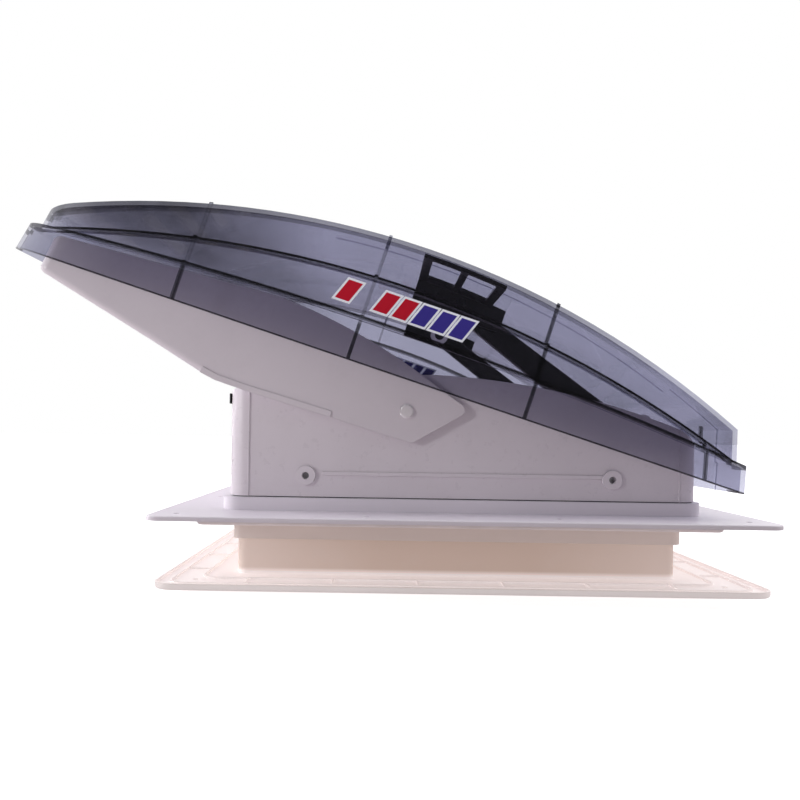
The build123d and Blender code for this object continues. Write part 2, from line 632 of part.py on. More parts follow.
with BuildPart() as lift_motor_cap:
    rod_y(PINION_X, PINION_Z, 12, 70, 74)
save(lift_motor_cap.part, "lift_motor_cap")

# ================================================================ fan
with BuildPart() as spider:
    rod_z(0, 0, 50, DECK_TOP, MOTOR_BOTTOM)
    for turn in (45, 135):
        with BuildSketch(Plane.XY.offset(DECK_TOP)) as arm_pair:
            with Locations(Location((0, 0), turn)):
                SlotOverall(2 * SPIDER_SCREW * math.sqrt(2) + 18, 18)
        extrude(arm_pair.sketch, amount=MOTOR_BOTTOM - DECK_TOP)
    rod_z(0, 0, 12, DECK_TOP, MOTOR_BOTTOM, Mode.SUBTRACT)
    for x in (-SPIDER_SCREW, SPIDER_SCREW):
        for y in (-SPIDER_SCREW, SPIDER_SCREW):
            rod_z(x, y, 1.7, DECK_TOP, MOTOR_BOTTOM, Mode.SUBTRACT)
save(spider.part, "motor_spider")

with BuildPart() as spider_screws:
    for x in (-SPIDER_SCREW, SPIDER_SCREW):
        for y in (-SPIDER_SCREW, SPIDER_SCREW):
            rod_z(x, y, 1.5, DECK_BOTTOM - 3, MOTOR_BOTTOM)
            rod_z(x, y, 3.6, MOTOR_BOTTOM, MOTOR_BOTTOM + 2.4)
            rod_z(x, y, 1.2, MOTOR_BOTTOM + 0.8, MOTOR_BOTTOM + 2.4, Mode.SUBTRACT)
save(spider_screws.part, "spider_screws")

with BuildPart() as fan_motor:
    rod_z(0, 0, MOTOR_RADIUS, MOTOR_BOTTOM, MOTOR_TOP)
    fillet(fan_motor.edges().group_by(Axis.Z)[-1], 4)
    rod_z(0, 0, SHAFT_RADIUS + FIT, MOTOR_BOTTOM, MOTOR_BOTTOM + 17, Mode.SUBTRACT)
    with PolarLocations(36, 12):
        with Locations((0, 0, MOTOR_TOP - 2)):
            Box(9, 3, 6, mode=Mode.SUBTRACT)
save(fan_motor.part, "fan_motor")

with BuildPart() as motor_cap:
    rod_z(0, 0, 26, MOTOR_TOP, MOTOR_TOP + 4)
    fillet(motor_cap.edges().group_by(Axis.Z)[-1], 2)
save(motor_cap.part, "motor_cap")

with BuildPart() as fan_shaft:
    rod_z(0, 0, SHAFT_RADIUS, HUB_BOTTOM - 6, MOTOR_BOTTOM + 16.5)
save(fan_shaft.part, "fan_shaft")


def blade_section(radius, chord, thickness, pitch):
    """Six-sided blade section standing square to the radius."""
    cos_p = math.cos(math.radians(pitch))
    sin_p = math.sin(math.radians(pitch))
    half = chord / 2
    with BuildSketch(Plane(origin=(radius, 0, 0), x_dir=(0, cos_p, sin_p), z_dir=(1, 0, 0))) as section:
        with BuildLine():
            upper = [(-half, 0), (-half + 4, -thickness / 2), (half - 4, -thickness / 2)]
            lower = [(half, 0), (half - 4, thickness / 2), (-half + 4, thickness / 2)]
            Polyline(*upper, *lower, close=True)
        make_face()
    return section.sketch


ROOT_SECTION = blade_section(HUB_RADIUS - 5, 30, 4.4, 42)
MIDDLE_SECTION = blade_section(92, 48, 3.4, 29)
TIP_SECTION = blade_section(FAN_RADIUS - 3.5, 60, 2.6, 20)
with BuildPart() as blade:
    loft(sections=[ROOT_SECTION.face(), MIDDLE_SECTION.face(), TIP_SECTION.face()], ruled=True)

with BuildPart() as rotor:
    rod_z(0, 0, HUB_RADIUS, HUB_BOTTOM, HUB_TOP)
    fillet(rotor.edges().group_by(Axis.Z)[0], 5)
    for index in range(FAN_BLADES):
        add(blade.part.rotate(Axis.Z, index * 360 / FAN_BLADES))
    rod_z(0, 0, SHAFT_RADIUS, HUB_BOTTOM - 8, HUB_TOP + 4, Mode.SUBTRACT)
save(rotor.part, "fan_rotor")

with BuildPart() as hub_nut:
    with BuildSketch(Plane.XY.offset(HUB_BOTTOM - 4)) as nut:
        RegularPolygon(9, 6)
    extrude(nut.sketch, amount=4)
    rod_z(0, 0, SHAFT_RADIUS, HUB_BOTTOM - 5, HUB_BOTTOM + 1, Mode.SUBTRACT)
save(hub_nut.part, "hub_nut")

# ================================================================ controls on the deck
with BuildPart() as control_box:
    slab(-172, -138, -172, -136, DECK_TOP, 54)
    fillet(control_box.edges().filter_by(Axis.Z), 3)
    slab(-170, -140, -170, -138, DECK_TOP + 2, 54, Mode.SUBTRACT)
    with BuildSketch(Plane.YZ.offset(-140)) as gland:
        with Locations((-146, 42)):
            Circle(2)
    extrude(gland.sketch, amount=3, mode=Mode.SUBTRACT)
save(control_box.part, "control_box")

with BuildPart() as control_lid:
    slab(-172, -138, -172, -136, 54, 56)
    fillet(control_lid.edges().filter_by(Axis.Z), 3)
save(control_lid.part, "control_box_lid")

with BuildPart() as cable:
    with BuildLine() as run:
        Spline((-140, -146, 42), (-110, -120, 41), (-31.6, -31.6, 46), tangents=((1, 0, 0), (1, 1, 0)))
    with BuildSketch(Plane(run.line @ 0, z_dir=run.line % 0)):
        Circle(1.9)
    sweep()
save(cable.part, "motor_cable")

# ================================================================ ceiling garnish
with BuildPart() as garnish:
    plate(GARNISH_SIZE, 16, GARNISH_BOTTOM, GARNISH_RIM)
    fillet(garnish.edges().group_by(Axis.Z)[0], 2)
    plate(GARNISH_SIZE - 4, 14, GARNISH_SKIN, GARNISH_RIM, Mode.SUBTRACT)
    for ring in (435, 395):
        plate(ring, 12, GARNISH_SKIN, GARNISH_RIM - 0.6)
        plate(ring - 3, 10.5, GARNISH_SKIN, GARNISH_RIM - 0.6, Mode.SUBTRACT)
    for turn in range(4):
        for along in (-160, -96, -32, 32, 96, 160):
            with Locations(Location((0, 0, 0), (0, 0, 90 * turn))):
                with Locations((along, 206.5, GARNISH_SKIN + 0.6)):
                    Box(1.5, 17.5, 1.2)
    plate(COLLAR_SIZE, 9, GARNISH_BOTTOM, COLLAR_TOP)
    plate(COLLAR_SIZE - 4, 7, GARNISH_SKIN, COLLAR_TOP, Mode.SUBTRACT)
    plate(SCREEN_SIZE + 3, 9, GARNISH_BOTTOM, GARNISH_SKIN, Mode.SUBTRACT)
    for x in (-GARNISH_SCREW, GARNISH_SCREW):
        for y in (-GARNISH_SCREW, GARNISH_SCREW):
            rod_z(x, y, 2.3, GARNISH_BOTTOM, GARNISH_RIM, Mode.SUBTRACT)
save(garnish.part, "ceiling_garnish")

with BuildPart() as screen_frame:
    plate(SCREEN_SIZE, 8, GARNISH_BOTTOM, SCREEN_TOP)
    plate(296, 6, GARNISH_BOTTOM, SCREEN_TOP, Mode.SUBTRACT)
    plate(302, 7, GARNISH_BOTTOM + 3.6, GARNISH_BOTTOM + 4, Mode.SUBTRACT)
    for x in (-KNOB_AT, KNOB_AT):
        for y in (-KNOB_AT, KNOB_AT):
            rod_z(x, y, 4 + FIT, GARNISH_BOTTOM, SCREEN_TOP, Mode.SUBTRACT)
save(screen_frame.part, "screen_frame")

with BuildPart() as mesh:
    plate(302, 7, GARNISH_BOTTOM + 3.6, GARNISH_BOTTOM + 4)
    for x in (-KNOB_AT, KNOB_AT):
        for y in (-KNOB_AT, KNOB_AT):
            rod_z(x, y, 6, GARNISH_BOTTOM, SCREEN_TOP, Mode.SUBTRACT)
save(mesh.part, "insect_mesh")

KNOBS = ((-KNOB_AT, -KNOB_AT), (KNOB_AT, -KNOB_AT), (-KNOB_AT, KNOB_AT), (KNOB_AT, KNOB_AT))
for number, (x, y) in enumerate(KNOBS):
    with BuildPart() as knob:
        rod_z(x, y, 4, GARNISH_BOTTOM, SCREEN_TOP + 2.8)
        rod_z(x, y, 11, GARNISH_BOTTOM - 2.6, GARNISH_BOTTOM - 0.1)
        slab(x - 9, x + 9, y - 2, y + 2, GARNISH_BOTTOM - 7, GARNISH_BOTTOM - 2.6)
        rod_z(x, y, 4, GARNISH_BOTTOM - 0.1, GARNISH_BOTTOM)
        tip = x + math.copysign(17, x)
        slab(min(x, tip), max(x, tip), y - 4, y + 4, SCREEN_TOP + 0.1, SCREEN_TOP + 2.8)
    save(knob.part, f"screen_knob_{number + 1}")

# ================================================================ keypad under the garnish
with BuildPart() as keypad:
    slab(-46, 46, KEYPAD_Y - 15, KEYPAD_Y + 15, GARNISH_BOTTOM - 6, GARNISH_BOTTOM)
    fillet(keypad.edges().group_by(Axis.Z)[0], 1.5)
    slab(-44, 44, KEYPAD_Y - 13, KEYPAD_Y + 13, GARNISH_BOTTOM - 4.4, GARNISH_BOTTOM, Mode.SUBTRACT)
    for index in range(4):
        rod_z(-30 + 20 * index, KEYPAD_Y, 5 + FIT, GARNISH_BOTTOM - 6, GARNISH_BOTTOM - 4.4, Mode.SUBTRACT)
save(keypad.part, "keypad_housing")

with BuildPart() as board:
    slab(-43, 43, KEYPAD_Y - 12, KEYPAD_Y + 12, GARNISH_BOTTOM - 1.6, GARNISH_BOTTOM)
save(board.part, "keypad_board")

for number, name in enumerate(("power", "auto", "fan_up", "fan_down")):
    with BuildPart() as button:
        rod_z(-30 + 20 * number, KEYPAD_Y, 5, GARNISH_BOTTOM - 7.4, GARNISH_BOTTOM - 3.3)
        rod_z(-30 + 20 * number, KEYPAD_Y, 6.2, GARNISH_BOTTOM - 4.3, GARNISH_BOTTOM - 3.3)
    save(button.part, f"button_{name}")
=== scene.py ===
"""Visual model of the powered roof vent cover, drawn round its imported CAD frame."""

import json
import math

import bmesh
import bpy
from mathutils import Matrix, Vector


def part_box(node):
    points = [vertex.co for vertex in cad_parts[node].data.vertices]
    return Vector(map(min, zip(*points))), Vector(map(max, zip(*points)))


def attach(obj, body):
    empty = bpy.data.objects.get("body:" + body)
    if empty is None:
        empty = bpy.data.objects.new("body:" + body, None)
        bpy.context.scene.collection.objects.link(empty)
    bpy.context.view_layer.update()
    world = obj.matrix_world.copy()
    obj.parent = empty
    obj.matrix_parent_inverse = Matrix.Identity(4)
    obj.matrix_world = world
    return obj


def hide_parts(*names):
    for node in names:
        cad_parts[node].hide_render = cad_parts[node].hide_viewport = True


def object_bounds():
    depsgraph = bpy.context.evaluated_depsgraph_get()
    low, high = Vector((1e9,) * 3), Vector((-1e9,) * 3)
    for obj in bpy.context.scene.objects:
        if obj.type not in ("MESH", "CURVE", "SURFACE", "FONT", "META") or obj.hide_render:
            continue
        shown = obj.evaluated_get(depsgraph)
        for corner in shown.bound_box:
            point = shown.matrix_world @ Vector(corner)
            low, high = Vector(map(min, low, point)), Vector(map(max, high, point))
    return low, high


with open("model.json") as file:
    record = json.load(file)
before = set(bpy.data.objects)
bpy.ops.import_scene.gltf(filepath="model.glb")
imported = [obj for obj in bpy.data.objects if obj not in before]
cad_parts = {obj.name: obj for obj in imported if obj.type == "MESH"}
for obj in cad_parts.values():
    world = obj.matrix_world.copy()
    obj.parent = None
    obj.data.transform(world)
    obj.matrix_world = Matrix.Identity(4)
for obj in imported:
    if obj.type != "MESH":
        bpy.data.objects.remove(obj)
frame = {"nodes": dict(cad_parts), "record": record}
cad_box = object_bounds()
NODES = frame["nodes"]

# ---------------------------------------------------------------- the lid's own frame, metres
# "along" runs down the rim from its high end and "height" stands square off the rim.
LID_TILT = math.radians(17.9)
LID_COS = math.cos(LID_TILT)
LID_SIN = math.sin(LID_TILT)
LID_ORIGIN = (-0.3354, 0.0, 0.2063)

# ---------------------------------------------------------------- dark lines on the mouldings of the lid's long sides, partly painted shade
RIM_LINE = 0.0012
RIB_STATIONS = ((0.1216, 0.15), (0.2605, 0.30), (0.3997, 0.90))  # place along, strength above the skirt
RIB_HALF = 0.0013
SKIRT_TOP = (0.027, 0.031)  # heights between which a rib takes its upper strength
LEDGE_FROM = 0.186  # distance from the middle plane beyond which the mouldings are drawn
LEDGE_HALF = 0.0015
LEDGE_ARCS = (  # start, crest and finish of each ledge, as along and height
    ((-0.020, 0.0195), (0.295, 0.034), (0.590, 0.0185)),
    ((-0.020, 0.010), (0.292, 0.0675), (0.590, 0.011)),
)
END_RIB = 0.5425
END_RIB_TOP = 0.040
END_RIB_HALF = 0.0012
END_RIB_LEAN = 0.2586
MARK_DEPTH = 0.62

# ---------------------------------------------------------------- slow changes of the lid's tint: random unevenness, painted shade and light, a painted highlight
LID_TINT = (0.57, 0.57, 0.665)
KEEP_RANGE = (0.97, 1.0)  # slow unevenness of the sheet
# painted shade and light: the tint above the skirt is darkened towards the high end and lightened towards the
# low end
PAINTED_REAR_SHADE = 0.58
PAINTED_FRONT_LIGHT = 1.08
TONE_SPAN = (0.03, 0.21)  # along
UPPER_SPAN = (0.03, 0.07)  # heights between which the upper tone takes over
CLOUD_DEPTH = 0.18
CLOUD_EDGES = (0.46, 0.60)  # noise values between which a cloud starts and is full
CLOUD_SPAN = (0.08, 0.17)  # along, where the clouds fade out
REAR_SLOPE = 0.17  # lean of the rear wall
# painted highlight: the side walls let more through near the rear corners, standing in for a lamp's
# reflection
PAINTED_REAR_GLINT = 0.75
REAR_GLINT_SPAN = (0.004, 0.034)  # along, from the rear wall
SIDE_FACING = 0.5  # sideways part of the surface normal beyond which a wall counts as a side

# ---------------------------------------------------------------- darker rounding along the crown's edge, painted shade
EDGE_KEEP = 0.52
EDGE_KEEP_LOW_END = 0.95
EDGE_SPAN = (0.38, 0.52)  # along, where the darker edge fades
EDGE_GLINT = 0.30
GLINT_SPAN = (0.40, 0.50)  # along, where the edge starts to shine
EDGE_BASE = 0.030  # height
ROUNDED_FROM = 0.170  # distance from the middle plane
ROUNDED_NORMALS = (0.07, 0.97)  # sideways part of the surface normal on the rounding
GRAZED_FROM = 0.1765  # distance from the middle plane
GRAZED_COSINE = 0.45

# ---------------------------------------------------------------- optics of the clear sheet
SHEET_IOR = 1.49
SKIN_PATH = 0.5  # each wall has two skins, and each takes half of the wall's tint
FACE_MIRROR = 0.03
GRAZE_MIRROR = 0.55
GRAZE_POWER = 5.0
SHEET_GLOSS = 0.035
WIPED_RANGE = (0.6, 1.9)
RIPPLE_DEPTH = 0.0012
SHEET_GRAIN_DEPTH = 0.00003
HAZE_RANGE = (0.010, 0.05)
HAZE_SPAN = (0.45, 0.8)
FILM_COLOR = (0.22, 0.22, 0.27)

# ---------------------------------------------------------------- badge bars, metres along the lid
BAND_HALF = 0.204
BAND_DRAFT = 2.0
BAR_STARTS = (0.236, 0.266, 0.281, 0.296, 0.311, 0.326)
BAR_WIDTH = 0.011
BAR_LEAN = 0.006
BAR_BOTTOM = 0.042
BAR_TOP = 0.058
BORDER_MARGIN = 0.0017
BORDER_INNER = 0.00004
BORDER_OUTER = 0.00022

# ---------------------------------------------------------------- insect screen, metres
WIRE_PITCH = 0.0032
WIRE_RADIUS = 0.00022
WIRE_SIDES = 3

# ---------------------------------------------------------------- finishes
GRAIN_SCALE = 900.0
EDGE_SOFTNESS = 0.0006
PLASTIC_IOR = 1.48
COAT_ROUGHNESS = 0.08
DRIFT_SHADES = (0.965, 1.02)  # darkest and lightest of the slow colour drift
SMUDGE_SHADE = 0.62
SMUDGE_SPAN = (0.52, 0.78)
SCUFF_RANGE = (0.82, 1.28)  # least and greatest roughness, as shares of the plain one
WAVE_DEPTH = 0.0006
STAIN_SHADE = 0.80
POLISH_RANGE = (0.75, 1.35)
METAL_GRAIN_DEPTH = 0.00004
FOAM_CELLS = 1100.0
FOAM_CELL_DEPTH = 0.0003
FOAM_ROUGHNESS = 0.86
FOAM_PATCH_SHADE = 0.88

# ---------------------------------------------------------------- painted warm shade on the garnish collar and painted warm light on the flange foot, metres
ROOF_SPAN = (-0.002, 0.002)  # z across the outer roof skin
COLLAR_SIDES = (0.06, 0.16)  # distance from the middle, where the collar's beige fades
COLLAR_CORNER = 0.78
COLLAR_RIM = (-0.040, -0.036)  # z at the foot of the collar

# ---------------------------------------------------------------- colours (linear)
# WHITE is pinker, as painted warm bounce light on shaded walls; the flange's white below is bluer and
# brighter, as painted light on its lit top
WHITE = (0.82, 0.76, 0.82)
LIT_GLOSS_WHITE = (0.90, 0.845, 0.92)
# painted warm bounce light on the flange below the roof
WARM_BOUNCE_CREAM = (0.90, 0.82, 0.77)
IVORY = (0.89, 0.82, 0.805)
# painted warm shade on the garnish collar
WARM_SHADED_BEIGE = (0.52, 0.41, 0.35)
BLACK = (0.012, 0.012, 0.014)
SEAL_BLACK = (0.02, 0.018, 0.022)
SLATE = (0.06, 0.065, 0.075)
RUBBER = (0.12, 0.12, 0.13)
FOAM = (0.90, 0.85, 0.85)
STEEL = (0.30, 0.30, 0.32)
WIRE_STEEL = (0.25, 0.25, 0.27)
MOTOR_STEEL = (0.20, 0.20, 0.22)
NYLON = (0.84, 0.80, 0.83)
EDGE_WHITE = (0.80, 0.82, 0.90)
RED = (0.72, 0.010, 0.035)
BLUE = (0.060, 0.045, 0.38)
GREEN = (0.015, 0.12, 0.05)

# ---------------------------------------------------------------- studio
FLOOR_SIZE = 30
FLOOR_GAP = 0.0004
FLOOR_GLOW = 0.62
FLOOR_PALE = (0.93, 0.93, 0.94)
FLOOR_PALER = (0.95, 0.95, 0.95)
FLOOR_BOUNCE = (0.52, 0.475, 0.48)  # the floor as lamps and reflections meet it
SKY_COLOR = (1.0, 0.985, 1.0)
SKY_FRONT = 0.085  # strength of the sky on the camera's side
SKY_SPAN = (-0.9, 0.35)
LENS_MM = 31.5
SENSOR_MM = 36.0
CAMERA_SHIFT = (0.02375, 0.0425)
CAMERA_PLACE = (-0.0615, -0.730, 0.071)
CAMERA_ROLL = 0.0157
CLEAR_BOUNCES = 24


# ---------------------------------------------------------------- material building blocks
class Nodes:
    """Small helper round the node tree of one material or world."""

    def __init__(self, owner, output="ShaderNodeOutputMaterial"):
        owner.use_nodes = True
        self.tree = owner.node_tree
        self.tree.nodes.clear()
        self.out = self.add(output)
        self.where = self.add("ShaderNodeTexCoord")

    def add(self, kind):
        return self.tree.nodes.new(kind)

    def link(self, a, b):
        self.tree.links.new(a, b)

    def finish(self, shader):
        """Shows the shader on the surface."""
        self.link(shader.outputs[0], self.out.inputs["Surface"])

    def axes(self, vector):
        """X, Y and Z of a vector socket, by name."""
        node = self.add("ShaderNodeSeparateXYZ")
        self.link(vector, node.inputs[0])
        return node.outputs

    def math(self, operation, a, b=None, clamp=False):
        node = self.add("ShaderNodeMath")
        node.operation = operation
        node.use_clamp = clamp
        for socket, value in zip(node.inputs, (a, b)):
            if value is None:
                continue
            if isinstance(value, (int, float)):
                socket.default_value = value
            else:
                self.link(value, socket)
        return node.outputs[0]

    def times(self, *factors):
        """Product of two or more sockets or numbers."""
        product = factors[0]
        for factor in factors[1:]:
            product = self.math("MULTIPLY", product, factor)
        return product

    def noise(self, scale, detail=4.0, rough=0.55):
        node = self.add("ShaderNodeTexNoise")
        node.inputs["Scale"].default_value = scale
        node.inputs["Detail"].default_value = detail
        node.inputs["Roughness"].default_value = rough
        self.link(self.where.outputs["Object"], node.inputs["Vector"])
        return node.outputs["Fac"]

    def span(self, fac, low, high, start=0.3, end=0.7):
        """Goes from low at start to high at end, and stays there on either side."""
        node = self.add("ShaderNodeMapRange")
        self.link(fac, node.inputs["Value"])
        node.inputs["From Min"].default_value = start
        node.inputs["From Max"].default_value = end
        node.inputs["To Min"].default_value = low
        node.inputs["To Max"].default_value = high
        return node.outputs["Result"]

    def blend(self, fac, base, color):
        """A colour socket turned towards a plain colour by fac."""
        node = self.add("ShaderNodeMix")
        node.data_type = "RGBA"
        self.link(fac, node.inputs["Factor"])
        self.link(base, node.inputs["A"])
        node.inputs["B"].default_value = (*color, 1)
        return node.outputs["Result"]

    def tint(self, fac, a, b):
        """Plain colour a turned towards plain colour b by fac."""
        node = self.add("ShaderNodeMix")
        node.data_type = "RGBA"
        self.link(fac, node.inputs["Factor"])
        node.inputs["A"].default_value = (*a, 1)
        node.inputs["B"].default_value = (*b, 1)
        return node.outputs["Result"]

    def either(self, fac, a, b):
        """Shader a turned towards shader b by fac."""
        node = self.add("ShaderNodeMixShader")
        self.link(fac, node.inputs[0])
        self.link(a.outputs[0], node.inputs[1])
        self.link(b.outputs[0], node.inputs[2])
        return node

    def bump(self, height, strength, distance, base=None):
        node = self.add("ShaderNodeBump")
        node.inputs["Strength"].default_value = strength
        node.inputs["Distance"].default_value = distance
        self.link(height, node.inputs["Height"])
        if base is not None:
            self.link(base, node.inputs["Normal"])
        return node.outputs["Normal"]


def shade(color, factor):
    """A colour made darker or lighter by factor."""
    return tuple(min(1.0, c * factor) for c in color)


def plastic(name, color, rough, grain_depth=0.00006, coat=0.0, dust=0.10, glow=0.0, ripple=0.10, painted_warm=None,
            painted_warm_where=None):
    """Moulded plastic: fine grain, slow colour drift, scuffed roughness and dull smudges.

    painted_warm is a second colour, painted warm light and shade, laid on where painted_warm_where(nodes, x,
    z) answers with one.
    """
    material = bpy.data.materials.new(name)
    n = Nodes(material)
    shader = n.add("ShaderNodeBsdfPrincipled")
    drift = n.span(n.noise(scale=9.0, detail=3.0), 0.0, 1.0)
    darkest, lightest = DRIFT_SHADES
    base = n.tint(drift, shade(color, darkest), shade(color, lightest))
    if painted_warm is not None:
        place = n.axes(n.where.outputs["Object"])
        base = n.blend(painted_warm_where(n, place["X"], place["Z"]), base, painted_warm)
    smudge = n.span(n.noise(scale=55.0, detail=6.0, rough=0.7), 0.0, dust, *SMUDGE_SPAN)
    skin = n.blend(smudge, base, shade(color, SMUDGE_SHADE))
    n.link(skin, shader.inputs["Base Color"])
    least, greatest = SCUFF_RANGE
    scuff = n.span(n.noise(scale=140.0, detail=5.0, rough=0.65), rough * least, rough * greatest)
    n.link(scuff, shader.inputs["Roughness"])
    bevel = n.add("ShaderNodeBevel")
    bevel.samples = 4
    bevel.inputs["Radius"].default_value = EDGE_SOFTNESS
    wave = n.bump(n.noise(scale=26.0, detail=2.0), ripple, WAVE_DEPTH, bevel.outputs["Normal"])
    grain = n.bump(n.noise(scale=GRAIN_SCALE, detail=2.0), strength=0.35, distance=grain_depth, base=wave)
    n.link(grain, shader.inputs["Normal"])
    shader.inputs["IOR"].default_value = PLASTIC_IOR
    shader.inputs["Coat Weight"].default_value = coat
    shader.inputs["Coat Roughness"].default_value = COAT_ROUGHNESS
    # glow is painted light: the plastic emits though it is no lamp
    n.link(skin, shader.inputs["Emission Color"])
    shader.inputs["Emission Strength"].default_value = glow
    n.finish(shader)
    return material


def below_roof(n, x, z):
    """One below the outer roof skin, nought above it."""
    return n.span(z, 1.0, 0.0, *ROOF_SPAN)


def collar_middle(n, x, z):
    """One in the middle of the garnish's upstanding collar, fading towards its corners and its rim."""
    sides = n.span(n.math("ABSOLUTE", x), 1.0, COLLAR_CORNER, *COLLAR_SIDES)
    return n.times(sides, n.span(z, 0.0, 1.0, *COLLAR_RIM))


def metal(name, color, rough=0.34):
    """Zinc-plated steel with stains, uneven polish and a fine grain."""
    material = bpy.data.materials.new(name)
    n = Nodes(material)
    shader = n.add("ShaderNodeBsdfPrincipled")
    stain = n.span(n.noise(scale=60.0, detail=5.0), 0.0, 1.0)
    n.link(n.tint(stain, shade(color, STAIN_SHADE), color), shader.inputs["Base Color"])
    shader.inputs["Metallic"].default_value = 1.0
    least, greatest = POLISH_RANGE
    polish = n.span(n.noise(scale=420.0, detail=3.0), rough * least, rough * greatest)
    n.link(polish, shader.inputs["Roughness"])
    grain = n.bump(n.noise(scale=1500.0, detail=2.0), strength=0.4, distance=METAL_GRAIN_DEPTH)
    n.link(grain, shader.inputs["Normal"])
    n.finish(shader)
    return material


def foam(name, color):
    """Closed-cell foam or rubber with visible cells."""
    material = bpy.data.materials.new(name)
    n = Nodes(material)
    shader = n.add("ShaderNodeBsdfPrincipled")
    cells = n.add("ShaderNodeTexVoronoi")
    cells.inputs["Scale"].default_value = FOAM_CELLS
    n.link(n.where.outputs["Object"], cells.inputs["Vector"])
    patches = n.span(n.noise(scale=30.0), 0.0, 1.0)
    n.link(n.tint(patches, shade(color, FOAM_PATCH_SHADE), color), shader.inputs["Base Color"])
    shader.inputs["Roughness"].default_value = FOAM_ROUGHNESS
    pores = n.bump(cells.outputs["Distance"], strength=0.5, distance=FOAM_CELL_DEPTH)
    n.link(pores, shader.inputs["Normal"])
    n.finish(shader)
    return material


# ---------------------------------------------------------------- the smoke-tinted lid
def arc_through(a, b, c):
    """Centre and radius of the circle through three points."""
    (ax, ay), (bx, by), (cx, cy) = a, b, c
    d = 2 * (ax * (by - cy) + bx * (cy - ay) + cx * (ay - by))
    aa = ax * ax + ay * ay
    bb = bx * bx + by * by
    cc = cx * cx + cy * cy
    ux = (aa * (by - cy) + bb * (cy - ay) + cc * (ay - by)) / d
    uy = (aa * (cx - bx) + bb * (ax - cx) + cc * (bx - ax)) / d
    return ux, uy, math.hypot(ax - ux, ay - uy)


def lid_place(n):
    """Where a point of the lid lies: along, height, and distance from the middle plane."""
    place = n.axes(n.where.outputs["Object"])
    rel_x = n.math("SUBTRACT", place["X"], LID_ORIGIN[0])
    rel_z = n.math("SUBTRACT", place["Z"], LID_ORIGIN[2])
    along = n.math("SUBTRACT", n.times(rel_x, LID_COS), n.times(rel_z, LID_SIN))
    height = n.math("ADD", n.times(rel_x, LID_SIN), n.times(rel_z, LID_COS))
    return along, height, n.math("ABSOLUTE", place["Y"])


def moulding_marks(n, along, height, side):
    """One on the dark rim line, the two ledges, the ribs and the leaning end rib of the long sides."""
    outboard = n.math("GREATER_THAN", side, LEDGE_FROM)
    marks = n.math("LESS_THAN", height, RIM_LINE)
    for start, crest, finish in LEDGE_ARCS:
        mid_s, mid_h, radius = arc_through(start, crest, finish)
        span_s = n.math("SUBTRACT", along, mid_s)
        span_h = n.math("SUBTRACT", height, mid_h)
        square = n.math("ADD", n.times(span_s, span_s), n.times(span_h, span_h))
        off = n.math("ABSOLUTE", n.math("SUBTRACT", n.math("SQRT", square), radius))
        marks = n.math("MAXIMUM", marks, n.math("LESS_THAN", off, LEDGE_HALF))
    for station, strength in RIB_STATIONS:
        offset = n.math("ABSOLUTE", n.math("SUBTRACT", along, station))
        fade = n.span(height, 1.0, strength, *SKIRT_TOP)
        marks = n.math("MAXIMUM", marks, n.times(n.math("LESS_THAN", offset, RIB_HALF), fade))
    leaning = n.math("ADD", along, n.times(height, END_RIB_LEAN))
    off_end = n.math("ABSOLUTE", n.math("SUBTRACT", leaning, END_RIB))
    end_rib = n.times(n.math("LESS_THAN", off_end, END_RIB_HALF), n.math("LESS_THAN", height, END_RIB_TOP))
    return n.math("MAXIMUM", n.times(marks, outboard), n.times(end_rib, outboard))


def upper_tone(n, along, height):
    """Factors on the tint above the skirt: painted shade darker towards the high end, and clouded there."""
    upper = n.span(height, 0.0, 1.0, *UPPER_SPAN)
    tone = n.math("SUBTRACT", n.span(along, PAINTED_REAR_SHADE, PAINTED_FRONT_LIGHT, *TONE_SPAN), 1.0)
    slope = n.math("ADD", 1.0, n.times(upper, tone))
    clouds = n.span(n.noise(scale=17.0, detail=3.0, rough=0.6), 0.0, CLOUD_DEPTH, *CLOUD_EDGES)
    clouds = n.times(clouds, upper, n.span(along, 1.0, 0.0, *CLOUD_SPAN))
    return slope, n.math("SUBTRACT", 1.0, clouds)


def crown_edge(n, height, side, sideways, cosine):
    """One on the rounding between crown and side, and one where the crown is also seen edge-on."""
    low, high = ROUNDED_NORMALS
    above = n.math("GREATER_THAN", height, EDGE_BASE)
    turning = n.times(n.math("GREATER_THAN", sideways, low), n.math("LESS_THAN", sideways, high))
    rounded = n.times(turning, n.math("GREATER_THAN", side, ROUNDED_FROM), above)
    edge_on = n.math("LESS_THAN", cosine, GRAZED_COSINE)
    grazed = n.times(n.math("GREATER_THAN", side, GRAZED_FROM), edge_on, above)
    return rounded, n.math("MAXIMUM", rounded, grazed)


